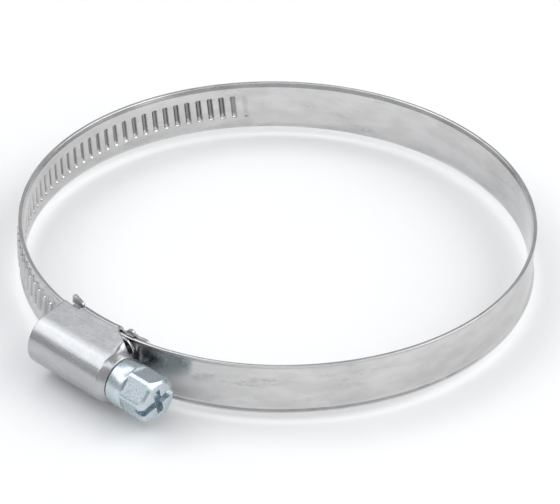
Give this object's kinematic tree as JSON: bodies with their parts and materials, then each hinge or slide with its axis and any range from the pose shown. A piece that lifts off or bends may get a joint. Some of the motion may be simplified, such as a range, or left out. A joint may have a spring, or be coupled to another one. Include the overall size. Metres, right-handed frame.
{
  "type": "hose clamp",
  "caption": "Worm-drive hose clamp: a thin steel band with pressed thread, pulled tight through a barrel housing by a hex-head worm screw.",
  "frame": {"origin": "centre of the clamped circle, at half the width of the band", "axes": "+Z along the ring's axis, housing at -Y, screw head towards +X; the clamp lies on its edge"},
  "size_m": [0.0849, 0.0927, 0.0126],
  "materials": {
    "band_steel": "bright cold-rolled strip, lightly smudged",
    "bridge_steel": "darker rolled sheet",
    "housing_steel": "pressed stainless sheet, satin with polished folds",
    "screw_zinc": "blue-passivated zinc plating"
  },
  "bodies": {
    "clamp_body": {"housing": "housing_steel", "bridge": "bridge_steel", "band_anchor_end": "band_steel"},
    "screw": {"worm_screw": "screw_zinc"},
    "tail": {"band_tail": "band_steel"},
    "band_link_01": {"band_link_01": "band_steel"},
    "band_link_02": {"band_link_02": "band_steel"},
    "band_link_03": {"band_link_03": "band_steel"},
    "band_link_04": {"band_link_04": "band_steel"},
    "band_link_05": {"band_link_05": "band_steel"},
    "band_link_06": {"band_link_06": "band_steel"},
    "band_link_07": {"band_link_07": "band_steel"},
    "band_link_08": {"band_link_08": "band_steel"},
    "band_link_09": {"band_link_09": "band_steel"},
    "band_link_10": {"band_link_10": "band_steel"},
    "band_link_11": {"band_link_11": "band_steel"},
    "band_link_12": {"band_link_12": "band_steel"}
  },
  "joints": [
    {"name": "screw_turn", "type": "hinge", "parent": "clamp_body", "child": "screw", "pos_m": [0, -0.04632, 0], "axis": [-1, 0, 0], "range_deg": [0, 4190]},
    {"name": "tail_pull", "type": "hinge", "parent": "clamp_body", "child": "tail", "pos_m": [0, 0, 0], "axis": [0, 0, 1], "range_deg": [0, 32.2]},
    {"name": "band_bend_01", "type": "hinge", "parent": "clamp_body", "child": "band_link_01", "pos_m": [0.01437, -0.03949, 0], "axis": [0, 0, 1], "range_deg": [0, 2.6]},
    {"name": "band_bend_02", "type": "hinge", "parent": "band_link_01", "child": "band_link_02", "pos_m": [0.02837, -0.03067, 0], "axis": [0, 0, 1], "range_deg": [0, 2.58]},
    {"name": "band_bend_03", "type": "hinge", "parent": "band_link_02", "child": "band_link_03", "pos_m": [0.0387, -0.01499, 0], "axis": [0, 0, 1], "range_deg": [0, 2.54]},
    {"name": "band_bend_04", "type": "hinge", "parent": "band_link_03", "child": "band_link_04", "pos_m": [0.04143, 0.00235, 0], "axis": [0, 0, 1], "range_deg": [0, 2.49]},
    {"name": "band_bend_05", "type": "hinge", "parent": "band_link_04", "child": "band_link_05", "pos_m": [0.03676, 0.01926, 0], "axis": [0, 0, 1], "range_deg": [0, 2.44]},
    {"name": "band_bend_06", "type": "hinge", "parent": "band_link_05", "child": "band_link_06", "pos_m": [0.02551, 0.03274, 0], "axis": [0, 0, 1], "range_deg": [0, 2.4]},
    {"name": "band_bend_07", "type": "hinge", "parent": "band_link_06", "child": "band_link_07", "pos_m": [0.0097, 0.04035, 0], "axis": [0, 0, 1], "range_deg": [0, 2.38]},
    {"name": "band_bend_08", "type": "hinge", "parent": "band_link_07", "child": "band_link_08", "pos_m": [-0.00785, 0.04075, 0], "axis": [0, 0, 1], "range_deg": [0, 2.39]},
    {"name": "band_bend_09", "type": "hinge", "parent": "band_link_08", "child": "band_link_09", "pos_m": [-0.02399, 0.03386, 0], "axis": [0, 0, 1], "range_deg": [0, 2.42]},
    {"name": "band_bend_10", "type": "hinge", "parent": "band_link_09", "child": "band_link_10", "pos_m": [-0.03633, 0.02038, 0], "axis": [0, 0, 1], "range_deg": [0, 2.46]},
    {"name": "band_bend_11", "type": "hinge", "parent": "band_link_10", "child": "band_link_11", "pos_m": [-0.042, 0.00301, 0], "axis": [0, 0, 1], "range_deg": [0, 2.51]},
    {"name": "band_bend_12", "type": "hinge", "parent": "band_link_11", "child": "band_link_12", "pos_m": [-0.04008, -0.01421, 0], "axis": [0, 0, 1], "range_deg": [0, 2.55]}
  ],
  "couplings": [
    {"joint": "tail_pull", "follows": "screw_turn", "ratio": 0.0076836},
    {"joint": "band_bend_01", "follows": "screw_turn", "ratio": 0.00061909},
    {"joint": "band_bend_02", "follows": "screw_turn", "ratio": 0.00061337},
    {"joint": "band_bend_03", "follows": "screw_turn", "ratio": 0.0006031},
    {"joint": "band_bend_04", "follows": "screw_turn", "ratio": 0.00059093},
    {"joint": "band_bend_05", "follows": "screw_turn", "ratio": 0.000579},
    {"joint": "band_bend_06", "follows": "screw_turn", "ratio": 0.00057041},
    {"joint": "band_bend_07", "follows": "screw_turn", "ratio": 0.00056635},
    {"joint": "band_bend_08", "follows": "screw_turn", "ratio": 0.00056802},
    {"joint": "band_bend_09", "follows": "screw_turn", "ratio": 0.0005747},
    {"joint": "band_bend_10", "follows": "screw_turn", "ratio": 0.00058496},
    {"joint": "band_bend_11", "follows": "screw_turn", "ratio": 0.00059642},
    {"joint": "band_bend_12", "follows": "screw_turn", "ratio": 0.00060597}
  ]
}
